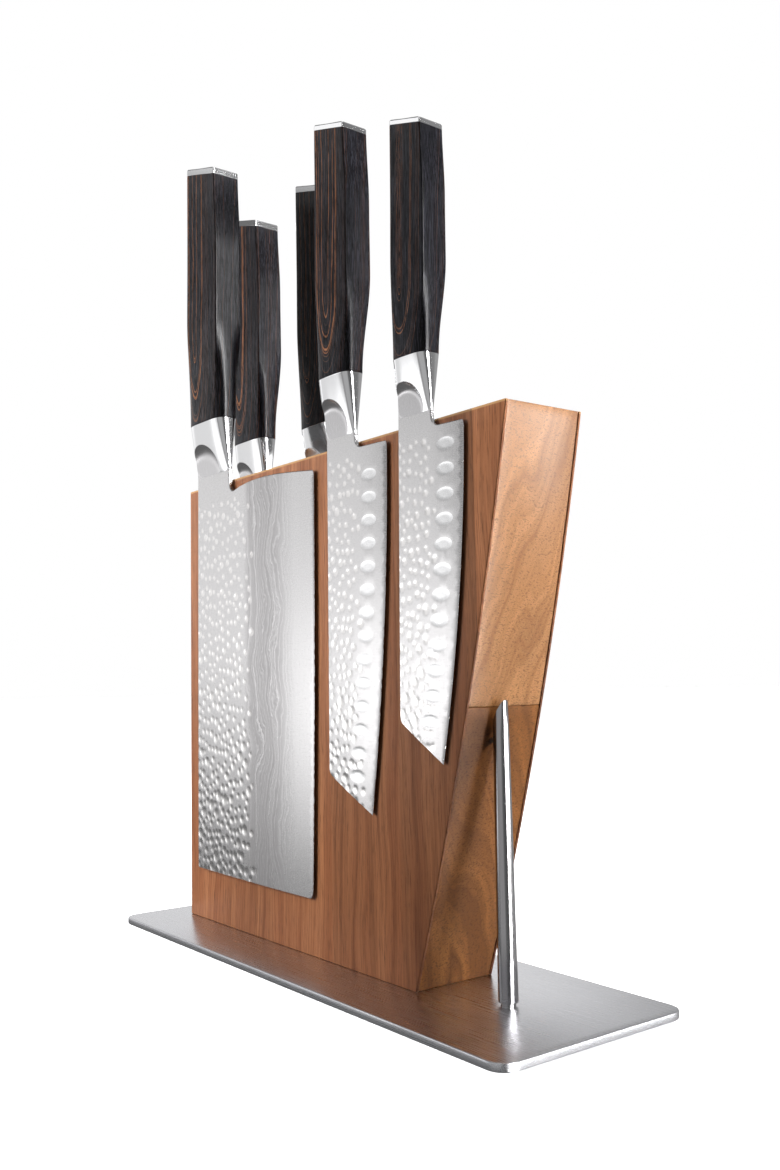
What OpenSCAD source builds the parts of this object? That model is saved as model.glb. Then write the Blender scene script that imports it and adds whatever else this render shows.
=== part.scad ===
// Free-standing magnetic knife block: a wooden board on a steel plate, held up at its
// overhanging end by a steel post, with three knives on its front face and two on its back.
// Millimetres. +Z is up, -Y is the front, +X runs along the board towards the post.
// The origin is at the middle of the base plate's footprint, at the level of the feet.

/* [Base plate] */
// Length of the base plate along the board
plate_len = 270; // [264:1:300]
// Depth of the base plate, front to back
plate_dep = 87; // [80:1:110]
// Thickness of the base plate
plate_t = 3; // [2.8:0.1:5]
// Corner radius of the base plate
plate_r = 8; // [4:1:14]
// Height of the thin rubber feet under the plate
foot_t = 1; // [0.8:0.1:2]
// Radius of each foot
foot_r = 6; // [4:0.5:8]
// Distance from the plate's edges to each foot's centre
foot_inset = 14; // [12:1:18]

/* [Board] */
// Length of the board where it meets the plate
board_foot = 177; // [172:1:182]
// Length of the board along its top edge
board_top = 233; // [228:1:238]
// Height of the board
board_h = 210; // [208:1:214]
// Thickness of the board, front to back
board_t = 37.5; // [36:0.5:40]
// Radius of the gentle bulge of the slanted end face
end_r = 1500; // [1200:50:2500]
// Position of the board's left edge
board_x = -117.5; // [-119:0.5:-116]
// Position of the board's front face
board_y = -15.5; // [-17:0.5:-14]
// Thickness of the front and back panels
panel_t = 1.2; // [1:0.1:2.2]
// Height of the glued seam between the two core blocks
seam_z = 104; // [100:1:108]
// How far the core stays behind the panels at the end face
glue_step = 0.3; // [0.2:0.1:0.5]

/* [Post] */
// Radius of the tapered steel post at its foot
post_foot_r = 3.6; // [3.4:0.1:4]
// Radius of the post at its tip
post_head_r = 2.9; // [2.6:0.1:3.2]
// Position of the post along the plate
post_x = 92.4; // [92:0.2:94]
// Position of the post, front to back
post_y = -0.4; // [-2:0.2:2]
// Height of the post's tip above the plate
post_len = 106.5; // [104:0.5:108]

/* [Magnets] */
// Length, height and thickness of each bar magnet
magnet = [26, 11, 4];
// Heights of the two rows of magnets above the plate
row_z = [126, 172];
// Thickness of the steel strip behind each row
keeper_t = 1.5; // [1:0.5:2]

/* [Knives] */
// Gap between a blade and the panel that it hangs on
blade_gap = 0.1; // [0.1:0.05:0.3]
// Slope of the butt end of every handle, in degrees
butt_slope = 17.5; // [10:0.5:24]
// Share of a handle's length over which its oval end turns square
blend_share = 0.38; // [0.3:0.02:0.5]
// Share of a blade's width that stays at full thickness
flat_share = 0.5; // [0.45:0.05:0.6]

/* [Hidden] */
$fn = 64;
plate_top = foot_t + plate_t;
board_mid_y = board_t / 2;
foot_xy = [plate_len / 2 - foot_inset, plate_dep / 2 - foot_inset];

// Screws that come up through the plate
screw_r = 2;
screw_head_r = 4.2;
screw_head_t = 2.2;
screw_fit = 0.05;
board_screw_len = 24;
post_screw_len = 13;
board_screw_x = [28, 88, 148];

// Wooden dowels across the seam
dowel_r = 4;
dowel_len = 36;
dowel_x = [20, 84, 150];

// Oblique cut of the post's top, which starts where the post meets the slanted end face
post_cut_h = 10;
// Pin that joins the post to the board behind it
pin_r = 1.2;
pin_len = 24;
pin_z = 92;
pin_fit = 0.05;

// Centre of the circle that the slanted end face lies on
end_chord = norm([board_top - board_foot, board_h]);
end_sag = end_r - sqrt(end_r * end_r - end_chord * end_chord / 4);
end_dir = [board_h, board_foot - board_top] / end_chord;
end_centre = [board_foot + board_top, board_h] / 2 - end_dir * (end_r - end_sag);

// Magnet columns, front and back, measured from the board's left edge
front_cols = [42, 88, 144, 190];
back_cols = [24, 72, 120, 168];
keeper_x = [8, 204];

// Columns of a knife's row: place, blade, bolster and handle
AT_X = 0;        // spine, from the board's left edge
AT_Z = 1;        // heel, above the plate
TILT = 2;        // lean towards +X, in degrees
BEHIND = 3;      // true on the back face
B_LEN = 4;       // blade, heel to tip
B_W = 5;         // blade, spine to edge
B_T = 6;         // blade thickness
E_DROP = 7;      // how far the edge curves in towards the tip
NECK_R = 8;      // belly side of the neck, from the spine
F_W = 9;         // bolster width at the handle
F_T = 10;        // bolster thickness at the handle
F_H = 11;        // height of the bolster's top above the heel
SCOOP_R = 12;    // radius of the thumb scoop
SCOOP_X = 13;    // scoop centre, from the spine
SCOOP_Z = 14;    // scoop centre, above the heel
H_W = 15;        // handle width
H_T = 16;        // handle thickness
H_LEN = 17;      // handle length on the belly side
H_X = 18;        // spine side of the handle, from the blade's spine
cleaver = [13.1, 204, 0.3, false, 180, 103, 2.2, 3.5, 31.6,
           33, 12, 36.5, 25.6, 6.5, 2.5, 32.3, 14, 120.3, -3];
santoku = [126.7, 207.5, 0.6, false, 145.5, 40, 2, 11.7, 19.8,
           22, 11, 31.5, 16, 3.5, 7.5, 24.5, 12.5, 100.5, -2.2];
petty_santoku = [174.8, 207.5, 1.2, false, 123.5, 37, 1.8, 12.8, 19.6,
           19.8, 10.4, 28, 14.6, 4.9, 5.5, 21.4, 11.5, 86, 0.2];
chef = [-12, 203.5, 0, true, 194, 45, 2.2, 0, 24,
        30.6, 12, 36.5, 19.5, 2.5, 8.5, 32, 14, 112.8, -3];
slicer = [54.7, 200, 0, true, 188, 34, 2, 0, 24,
          30.6, 12, 36.5, 19.5, 2.5, 8.5, 32, 14, 111.2, -3];

edge_t = 0.4;
neck_wrap = 1.2;
tang_share = 0.62;
tang_depth = 0.7;
cap_share = 0.1;
heel_r = 1.6;
choil_r = 4;
crown_h = 2.8;
tip_drop = 12.5;
tip_r = 4;
corner_r = 3;
edge_steps = 14;
crown_steps = 12;
// Lowest level of every bolster: just above the board's top face
bolster_clear = 0.6;
// Depth by which a scoop reaches into the slot of the blade
skin = 0.01;

scallop_pitch = 9.15;
scallop_r = 8;
scallop_depth = 0.38;
scallop_len = 5;

// ---------------------------------------------------------------- shared shapes

// Moves children from board coordinates (left edge, front face, plate top) into place
module at_board() {
    translate([board_x, board_y, plate_top]) children();
}

// Countersunk screw standing up from the underside of the plate
module screw(len, grow = 0) {
    translate([0, 0, foot_t - grow]) {
        cylinder(h = screw_head_t + grow, r1 = screw_head_r + grow, r2 = screw_r + grow);
        cylinder(h = plate_t + len + grow * 2, r = screw_r + grow);
    }
}

module at_board_screws() {
    for (x = board_screw_x)
        translate([board_x + x, board_y + board_mid_y, 0]) children();
}

// Slice of the board between two depths and two heights, with its slanted end face
module board_slice(y0, y1, z0, z1, step = 0) {
    intersection() {
        translate([0, y0, z0]) cube([board_top + end_sag + 5, y1 - y0, z1 - z0]);
        translate([end_centre.x, y0 - 1, end_centre.y]) rotate([-90, 0, 0])
            cylinder(h = y1 - y0 + 2, r = end_r - step, $fn = 720);
    }
}

module dowels(grow = 0) {
    for (x = dowel_x)
        translate([x, board_mid_y, seam_z - dowel_len / 2 - grow])
            cylinder(h = dowel_len + 2 * grow, r = dowel_r + grow);
}

// Bar magnets of one face, their outer faces on the plane y0; dir is 1 towards +Y
module magnet_bars(cols, y0, dir) {
    for (x = cols, z = row_z)
        translate([x, y0 + dir * magnet.z / 2, z])
            cube([magnet.x, magnet.z, magnet.y], center = true);
}

// Steel strips behind the two rows of magnets
module keeper_strips(y0, dir) {
    for (z = row_z)
        translate([(keeper_x[0] + keeper_x[1]) / 2, y0 + dir * (magnet.z + keeper_t / 2), z])
            cube([keeper_x[1] - keeper_x[0], keeper_t, magnet.y], center = true);
}

// Square-bottomed grooves that the magnets and strips of one face lie in
module magnet_grooves(y0, dir) {
    depth = magnet.z + keeper_t;
    for (z = row_z)
        translate([(keeper_x[0] + keeper_x[1]) / 2, y0 + dir * depth / 2, z])
            cube([keeper_x[1] - keeper_x[0], depth, magnet.y], center = true);
}

// ---------------------------------------------------------------- stand

module base_plate() {
    color("silver") difference() {
        translate([0, 0, foot_t]) union() {
            translate([-plate_len / 2 + plate_r, -plate_dep / 2, 0])
                cube([plate_len - 2 * plate_r, plate_dep, plate_t]);
            translate([-plate_len / 2, -plate_dep / 2 + plate_r, 0])
                cube([plate_len, plate_dep - 2 * plate_r, plate_t]);
            for (sx = [-1, 1], sy = [-1, 1])
                translate([sx * (plate_len / 2 - plate_r), sy * (plate_dep / 2 - plate_r), 0])
                    cylinder(h = plate_t, r = plate_r);
        }
        at_board_screws() screw(board_screw_len, screw_fit);
        translate([post_x, post_y, 0]) screw(post_screw_len, screw_fit);
    }
}

module foot_pads() {
    color("dimgray")
        for (sx = [-1, 1], sy = [-1, 1])
            translate([sx * foot_xy.x, sy * foot_xy.y, 0]) cylinder(h = foot_t, r = foot_r);
}

module board_screws() {
    color("gray") at_board_screws() screw(board_screw_len);
}

module post_screw() {
    color("gray") translate([post_x, post_y, 0]) screw(post_screw_len);
}

module support_post() {
    cut_foot = post_len - post_cut_h;
    slope = post_cut_h / (2 * post_head_r);
    color("lightgray") difference() {
        translate([post_x, post_y, plate_top]) difference() {
            cylinder(h = post_len, r1 = post_foot_r, r2 = post_head_r);
            translate([0, 0, -1]) cylinder(h = post_screw_len + 2, r = screw_r + screw_fit);
            side_view([[-post_head_r - 2, cut_foot - 2 * slope],
                       [post_head_r + 1, post_len + slope],
                       [-post_head_r - 2, post_len + slope]], post_foot_r * 3);
        }
        pin(pin_fit);
    }
}

// Level steel pin from the middle of the post into the board
module pin(grow = 0) {
    translate([post_x + grow, post_y, plate_top + pin_z]) rotate([0, -90, 0])
        cylinder(h = pin_len + 2 * grow, r = pin_r + grow);
}

module post_pin() {
    color("gray") pin();
}

module core_lower() {
    color("peru") difference() {
        at_board() board_slice(panel_t, board_t - panel_t, 0, seam_z, glue_step);
        at_board_screws() screw(board_screw_len, screw_fit);
        at_board() dowels(screw_fit);
        pin(pin_fit);
    }
}

module core_upper() {
    color("sienna") difference() {
        at_board() board_slice(panel_t, board_t - panel_t, seam_z, board_h, glue_step);
        at_board() dowels(screw_fit);
        at_board() magnet_grooves(panel_t, 1);
        at_board() magnet_grooves(board_t - panel_t, -1);
    }
}

module core_dowels() {
    color("burlywood") at_board() dowels();
}

module front_panel() {
    color("saddlebrown") at_board() board_slice(0, panel_t, 0, board_h);
}

module back_panel() {
    color("saddlebrown") at_board() board_slice(board_t - panel_t, board_t, 0, board_h);
}

module front_magnets() {
    color("darkgray") at_board() magnet_bars(front_cols, panel_t, 1);
}

module back_magnets() {
    color("darkgray") at_board() magnet_bars(back_cols, board_t - panel_t, -1);
}

module front_keepers() {
    color("dimgray") at_board() keeper_strips(panel_t, 1);
}

module back_keepers() {
    color("dimgray") at_board() keeper_strips(board_t - panel_t, -1);
}

// ---------------------------------------------------------------- knives
// A knife is drawn with its spine at x = 0, its edge towards +X, its heel at z = 0
// and its tip down, centred on y = 0.

module hang(k) {
    out = blade_gap + k[B_T] / 2;
    y = k[BEHIND] ? board_t + out : -out;
    at_board() translate([k[AT_X], y, k[AT_Z]]) rotate([0, k[TILT], 0]) children();
}

// Upright plate with a side-view outline given as [x, z] points
module side_view(points, t) {
    rotate([90, 0, 0]) linear_extrude(height = t, center = true) polygon(points);
}

function arc(c, r, a0, a1, n) =
    [for (i = [0:n]) let (a = a0 + (a1 - a0) * i / n) c + r * [cos(a), sin(a)]];

function neck_top(k) = k[F_H] - 8;
function bolster_foot(k) = max(6.5, board_h + bolster_clear - k[AT_Z]);
function tang_half(k) = k[F_W] * tang_share / 4;
function bolster_left(k) = k[H_X] * 0.9;
function bolster_mid(k) = bolster_left(k) + k[F_W] / 2;

// Outline of the neck and tang above the heel, going round from the choil to the spine
function neck_outline(k) = concat(
    arc([k[NECK_R] + choil_r, choil_r], choil_r, 270, 180, 6),
    [[bolster_left(k) + k[F_W] - neck_wrap, neck_top(k)],
     [bolster_mid(k) + tang_half(k), neck_top(k)],
     [bolster_mid(k) + tang_half(k), k[F_H] + k[H_LEN] * tang_depth],
     [bolster_mid(k) - tang_half(k), k[F_H] + k[H_LEN] * tang_depth],
     [bolster_mid(k) - tang_half(k), neck_top(k)],
     [bolster_left(k) * 0.6, neck_top(k)],
     [0, bolster_foot(k)]]);

// Heel corner and cutting edge, from the heel down to the tip
function edge_outline(k) = concat(
    arc([k[B_W] - heel_r, -heel_r], heel_r, 90, 0, 4),
    [for (i = [1:edge_steps]) let (u = i / edge_steps)
        [k[B_W] - k[E_DROP] * u * u, -k[B_LEN] * u]]);

// Gentle hump of the cleaver's upper side, from the choil to the heel
function crown_outline(k) = [for (i = [1:crown_steps - 1]) let (u = i / crown_steps)
    [k[NECK_R] + choil_r + (k[B_W] - heel_r - k[NECK_R] - choil_r) * u,
     crown_h * sin(180 * pow(u, 0.75))]];

// Square-ended blade of the cleaver, with its lower corners eased
module square_tip_outline(k, t) {
    edge_x = k[B_W] - k[E_DROP];
    low = -k[B_LEN];
    side_view(concat(
        arc([corner_r / 2, low + corner_r / 2], corner_r / 2, 270, 180, 3),
        neck_spine_first(k), crown_outline(k),
        [for (p = edge_outline(k)) if (p.y > low + corner_r) p],
        arc([edge_x - corner_r, low + corner_r], corner_r, 0, -90, 4)), t);
}

function reverse(list) = [for (i = [len(list) - 1:-1:0]) list[i]];
function neck_spine_first(k) = reverse(neck_outline(k));

// Straight spine that turns at an angle towards the tip
module angled_tip_outline(k, t) {
    tip = [k[B_W] - k[E_DROP], -k[B_LEN]];
    knee_z = -k[B_LEN] + tip_drop;
    side_view(concat(
        reverse(arc([tip_r, knee_z + tip_r], tip_r, 180, 240, 4)),
        neck_spine_first(k), edge_outline(k)), t);
}

// Pointed blade whose spine and edge both curve in to the tip; tip_x is the tip's
// distance from the line of the spine
module pointed_outline(k, t, tip_x, belly) {
    spine = [for (i = [edge_steps:-1:1]) let (u = i / edge_steps)
        [tip_x * pow(u, 4), -k[B_LEN] * u]];
    edge = [for (i = [0:edge_steps]) let (u = i / edge_steps)
        [k[B_W] - (k[B_W] - tip_x) * pow(u, belly), -k[B_LEN] * u]];
    heel = arc([k[B_W] - heel_r, -heel_r], heel_r, 90, 30, 3);
    lower = [for (i = [1:edge_steps - 1]) edge[i]];
    side_view(concat(spine, neck_spine_first(k), heel, lower), t);
}

// Wedges taken off both faces so that the blade thins from its middle to the edge
module edge_bevels(k, top = 0) {
    flat_w = k[B_W] * flat_share;
    for (s = [-1, 1])
        translate([0, 0, -k[B_LEN] - 1])
            linear_extrude(height = k[B_LEN] + top + 1.5)
                polygon([[flat_w, s * k[B_T] / 2], [k[B_W] + 1, s * edge_t / 2],
                         [k[B_W] + 1, s * k[B_T]], [flat_w, s * k[B_T]]]);
}

// Row of shallow oval scallops ground into both faces, following the edge
module scallops(k, count, first_z, from_edge) {
    for (i = [0:count - 1], s = [-1, 1]) {
        z = first_z - i * scallop_pitch;
        u = -z / k[B_LEN];
        x = k[B_W] - k[E_DROP] * u * u - from_edge;
        half_t = k[B_T] / 2 - (k[B_T] - edge_t) / 2 * (x / k[B_W] - flat_share) / (1 - flat_share);
        translate([x - scallop_len / 2, s * (half_t + scallop_r - scallop_depth), z]) {
            rotate([0, 90, 0]) cylinder(h = scallop_len, r = scallop_r, $fn = 48);
            sphere(r = scallop_r, $fn = 48);
            translate([scallop_len, 0, 0]) sphere(r = scallop_r, $fn = 48);
        }
    }
}

// Oval cross-section of a bolster
module oval(w, t) {
    square([w - t, t], center = true);
    for (s = [-1, 1]) translate([s * (w - t) / 2, 0]) circle(d = t);
}

// Area that the thumb scoop clears on the blade's face, between the depths y0 and y1
module scoop(k, y0, y1) {
    translate([k[SCOOP_X], y0, k[SCOOP_Z]]) rotate([-90, 0, 0])
        cylinder(h = y1 - y0, r = k[SCOOP_R]);
    translate([-10, y0, -10]) cube([k[SCOOP_X] + 10 + k[SCOOP_R], y1 - y0, k[SCOOP_Z] + 10]);
}

// Steel bolster: oval at the handle, thinning to the blade, with a round scoop each side
module bolster(k) {
    left = bolster_left(k);
    foot = bolster_foot(k);
    top = k[F_H];
    half_t = k[B_T] / 2;
    difference() {
        intersection() {
            translate([bolster_mid(k), 0, foot]) linear_extrude(height = top - foot)
                oval(k[F_W] + 1, k[F_T]);
            side_view([[left, top], [left * 0.6, neck_top(k)], [0, foot],
                       [k[NECK_R] + 0.4, foot], [left + k[F_W] - 0.4, neck_top(k)],
                       [left + k[F_W], top]], k[F_T] + 2);
            rotate([90, 0, 90]) linear_extrude(height = 200, center = true)
                polygon([[-k[F_T] / 2, top], [k[F_T] / 2, top],
                         [half_t + 0.15, foot], [-half_t - 0.15, foot]]);
        }
        scoop(k, half_t - skin, k[F_T]);
        scoop(k, -k[F_T], skin - half_t);
        side_view(neck_outline(k), k[B_T]);
    }
}

// Handle cross-section: wide chamfers on the spine side, narrow ones on the belly side
module grip_section(k) {
    w = k[H_W];
    t = k[H_T];
    wide = [w * 0.09, t * 0.14];
    thin = 0.5;
    polygon([[0, -t / 2 + wide.y], [wide.x, -t / 2], [w - thin, -t / 2], [w, -t / 2 + thin],
             [w, t / 2 - thin], [w - thin, t / 2], [wide.x, t / 2], [0, t / 2 - wide.y]]);
}

function butt_z(k) = k[F_H] + k[H_LEN];
function belly_x(k) = k[H_X] + k[H_W];

// Side view of a handle, running on past its butt: the belly draws in over the last quarter
module handle_side(k) {
    draw_in = k[H_W] * 0.065;
    belly = belly_x(k);
    top = butt_z(k);
    side_view([[k[H_X], k[F_H]], [k[H_X], top + k[H_W]], [belly - draw_in * 1.6, top + k[H_W]],
               [belly - draw_in, top], [belly - draw_in * 0.35, top - k[H_LEN] * 0.12],
               [belly, top - k[H_LEN] * 0.26], [belly, k[F_H]]], k[H_T] + 2);
}

// Everything under the sloped butt line, which meets the belly side at butt_z
module below_butt(k, raise) {
    left = k[H_X] - 5;
    right = belly_x(k) + 5;
    level = butt_z(k) + raise;
    slope = tan(butt_slope);
    side_view([[left, 0], [left, level + (belly_x(k) - left) * slope],
               [right, level + (belly_x(k) - right) * slope], [right, 0]], k[H_T] + 4);
}

// Wooden grip with the slot for the tang
module grip(k) {
    blend_z = k[F_H] + k[H_LEN] * blend_share;
    difference() {
        intersection() {
            union() {
                hull() {
                    translate([bolster_mid(k), 0, k[F_H]]) linear_extrude(height = 0.01)
                        oval(k[F_W], k[F_T], $fn = 32);
                    translate([k[H_X], 0, blend_z]) linear_extrude(height = 0.01)
                        grip_section(k);
                }
                translate([k[H_X], 0, blend_z]) linear_extrude(height = k[H_LEN])
                    grip_section(k);
            }
            handle_side(k);
            below_butt(k, 0);
        }
        side_view(neck_outline(k), k[B_T]);
    }
}

// Polished end cap that follows the sloped butt
module cap(k) {
    low = butt_z(k) - 2;
    difference() {
        intersection() {
            translate([k[H_X], 0, low]) linear_extrude(height = k[H_W])
                grip_section(k);
            handle_side(k);
            below_butt(k, k[H_W] * cap_share);
        }
        below_butt(k, 0);
    }
}

module cleaver_blade() {
    color("gainsboro") hang(cleaver) difference() {
        square_tip_outline(cleaver, cleaver[B_T]);
        edge_bevels(cleaver, crown_h);
    }
}
module cleaver_bolster() { color("lightgray") hang(cleaver) bolster(cleaver); }
module cleaver_handle() { color("#2b2522") hang(cleaver) grip(cleaver); }
module cleaver_cap() { color("silver") hang(cleaver) cap(cleaver); }

module santoku_blade() {
    color("gainsboro") hang(santoku) difference() {
        angled_tip_outline(santoku, santoku[B_T]);
        edge_bevels(santoku);
        scallops(santoku, 14, -12, 11);
    }
}
module santoku_bolster() { color("lightgray") hang(santoku) bolster(santoku); }
module santoku_handle() { color("#2b2522") hang(santoku) grip(santoku); }
module santoku_cap() { color("silver") hang(santoku) cap(santoku); }

module petty_blade() {
    color("gainsboro") hang(petty_santoku) difference() {
        angled_tip_outline(petty_santoku, petty_santoku[B_T]);
        edge_bevels(petty_santoku);
        scallops(petty_santoku, 12, -7.5, 9.5);
    }
}
module petty_bolster() { color("lightgray") hang(petty_santoku) bolster(petty_santoku); }
module petty_handle() { color("#2b2522") hang(petty_santoku) grip(petty_santoku); }
module petty_cap() { color("silver") hang(petty_santoku) cap(petty_santoku); }

module chef_blade() {
    color("gainsboro") hang(chef) difference() {
        pointed_outline(chef, chef[B_T], 12, 2.4);
        edge_bevels(chef);
    }
}
module chef_bolster() { color("lightgray") hang(chef) bolster(chef); }
module chef_handle() { color("#2b2522") hang(chef) grip(chef); }
module chef_cap() { color("silver") hang(chef) cap(chef); }

module slicer_blade() {
    color("gainsboro") hang(slicer) difference() {
        pointed_outline(slicer, slicer[B_T], 8, 4);
        edge_bevels(slicer);
    }
}
module slicer_bolster() { color("lightgray") hang(slicer) bolster(slicer); }
module slicer_handle() { color("#2b2522") hang(slicer) grip(slicer); }
module slicer_cap() { color("silver") hang(slicer) cap(slicer); }

base_plate();
foot_pads();
board_screws();
post_screw();
support_post();
post_pin();
core_lower();
core_upper();
core_dowels();
front_panel();
back_panel();
front_magnets();
back_magnets();
front_keepers();
back_keepers();
cleaver_blade();
cleaver_bolster();
cleaver_handle();
cleaver_cap();
santoku_blade();
santoku_bolster();
santoku_handle();
santoku_cap();
petty_blade();
petty_bolster();
petty_handle();
petty_cap();
chef_blade();
chef_bolster();
chef_handle();
chef_cap();
slicer_blade();
slicer_bolster();
slicer_handle();
slicer_cap();
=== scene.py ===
import math

import bmesh
import bpy
import numpy as np
from mathutils import Matrix, Vector
from mathutils.geometry import delaunay_2d_cdt


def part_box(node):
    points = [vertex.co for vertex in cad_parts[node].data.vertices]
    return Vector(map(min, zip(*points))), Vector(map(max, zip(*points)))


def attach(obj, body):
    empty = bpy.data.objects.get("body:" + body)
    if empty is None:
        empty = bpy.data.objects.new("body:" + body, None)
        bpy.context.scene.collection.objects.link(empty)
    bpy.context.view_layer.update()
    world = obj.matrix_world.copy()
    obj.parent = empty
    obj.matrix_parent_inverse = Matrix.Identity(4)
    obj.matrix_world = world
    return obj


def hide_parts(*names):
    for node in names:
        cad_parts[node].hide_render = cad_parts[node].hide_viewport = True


# The magnetic knife block: a leaning hardwood board on a steel plate with a steel post, and
# five knives that hang on its two faces. Shapes are in millimetres, MM turns them to metres.

MM = 0.001
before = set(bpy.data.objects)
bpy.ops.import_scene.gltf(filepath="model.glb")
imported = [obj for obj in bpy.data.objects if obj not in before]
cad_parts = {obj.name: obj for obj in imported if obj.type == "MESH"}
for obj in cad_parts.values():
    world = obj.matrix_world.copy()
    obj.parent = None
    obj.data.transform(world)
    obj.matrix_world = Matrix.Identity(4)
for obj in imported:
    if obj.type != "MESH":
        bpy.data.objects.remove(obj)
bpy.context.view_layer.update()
rng = np.random.default_rng(11)


def box_mm(node):
    """Lowest and highest corner of a CAD node, in millimetres."""
    low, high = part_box(node)
    return np.array(low) / MM, np.array(high) / MM


# ---------------------------------------------------------------- mesh helpers


def make_piece(name, points, faces, material, body, nodes, slot, sharp=35.0, place=None, **values):
    """A mesh piece from points in mm. Each point keeps its own coordinates in the attribute
    'spot', and any further values as named attributes, for the materials to read."""
    points = np.asarray(points, float)
    placed = place(points) if place else points
    mesh = bpy.data.meshes.new(name)
    mesh.from_pydata((placed * MM).tolist(), [], faces)
    spot = mesh.attributes.new("spot", "FLOAT_VECTOR", "POINT")
    spot.data.foreach_set("vector", points.astype(np.float32).ravel())
    for key, value in values.items():
        layer = mesh.attributes.new(key, "FLOAT", "POINT")
        layer.data.foreach_set("value", np.asarray(value, np.float32))
    mesh.shade_smooth()
    mesh.set_sharp_from_angle(angle=math.radians(sharp))
    obj = bpy.data.objects.new(name, mesh)
    bpy.context.scene.collection.objects.link(obj)
    mesh.materials.append(material)
    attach(obj, body)
    if nodes:
        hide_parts(*nodes)
    return obj


def loft(rings, first_cap=True, last_cap=True):
    """Points and faces of a skin over closed rings of equal length, ends closed by flat caps."""
    count = len(rings[0])
    points = np.concatenate(rings)
    faces = []
    for i in range(len(rings) - 1):
        for j in range(count):
            a, b = i * count + j, i * count + (j + 1) % count
            faces.append((a, b, b + count, a + count))
    if first_cap:
        faces.append(tuple(range(count - 1, -1, -1)))
    if last_cap:
        last = (len(rings) - 1) * count
        faces.append(tuple(range(last, last + count)))
    return points, faces


def lathe(profile, centre, count=64):
    """Skin of a turned part: profile is (radius, height) from the bottom up."""
    turn = np.linspace(0, 2 * math.pi, count, endpoint=False)
    around = np.stack([np.cos(turn), np.sin(turn), np.zeros(count)], 1)
    rings = [around * r + np.array([centre[0], centre[1], z]) for r, z in profile]
    return loft(rings)


def arc(centre, radius, start, end, steps):
    """Points along an arc, angles in degrees."""
    turn = np.radians(np.linspace(start, end, steps + 1))
    return np.array(centre) + radius * np.stack([np.cos(turn), np.sin(turn)], 1)


def rounded(corners, radius, steps=4):
    """A polygon with every corner rounded; radius is one number or one per corner."""
    corners = np.asarray(corners, float)
    radii = np.broadcast_to(radius, len(corners))
    out = []
    for i, corner in enumerate(corners):
        back = corners[i - 1] - corner
        ahead = corners[(i + 1) % len(corners)] - corner
        back_len, ahead_len = np.linalg.norm(back), np.linalg.norm(ahead)
        back, ahead = back / back_len, ahead / ahead_len
        half = math.acos(np.clip(back @ ahead, -1, 1)) / 2
        reach = min(radii[i] / math.tan(half), back_len * 0.48, ahead_len * 0.48)
        for t in np.linspace(0, 1, steps + 1):
            out.append(corner + back * reach * (1 - t) ** 2 + ahead * reach * t**2)
    return np.array(out)


def resample(path, spacing):
    """Closed path with points at most spacing apart, keeping its corners."""
    out = []
    for a, b in zip(path, np.roll(path, -1, 0)):
        steps = max(1, math.ceil(np.linalg.norm(b - a) / spacing))
        out.extend(a + (b - a) * i / steps for i in range(steps))
    return np.array(out)


def inward(path):
    """Inward unit normals of a closed counter-clockwise path."""
    along = np.roll(path, -1, 0) - np.roll(path, 1, 0)
    along /= np.maximum(np.linalg.norm(along, axis=1, keepdims=True), 1e-9)
    return np.stack([-along[:, 1], along[:, 0]], 1)


def inside(points, path):
    """True for the points inside a closed path."""
    hit = np.zeros(len(points), bool)
    x, z = points[:, 0], points[:, 1]
    for a, b in zip(path, np.roll(path, -1, 0)):
        if a[1] == b[1]:
            continue
        crosses = (a[1] > z) != (b[1] > z)
        hit ^= crosses & (x < (b[0] - a[0]) * (z - a[1]) / (b[1] - a[1]) + a[0])
    return hit


def hex_grid(low, high, spacing):
    """Staggered points over a rectangle."""
    rows = np.arange(low[1], high[1], spacing * 0.866)
    cols = np.arange(low[0], high[0], spacing)
    grid = np.array([(x + (i % 2) * spacing / 2, z) for i, z in enumerate(rows) for x in cols])
    return grid + rng.uniform(-0.12, 0.12, grid.shape) * spacing


# ---------------------------------------------------------------- materials


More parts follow.
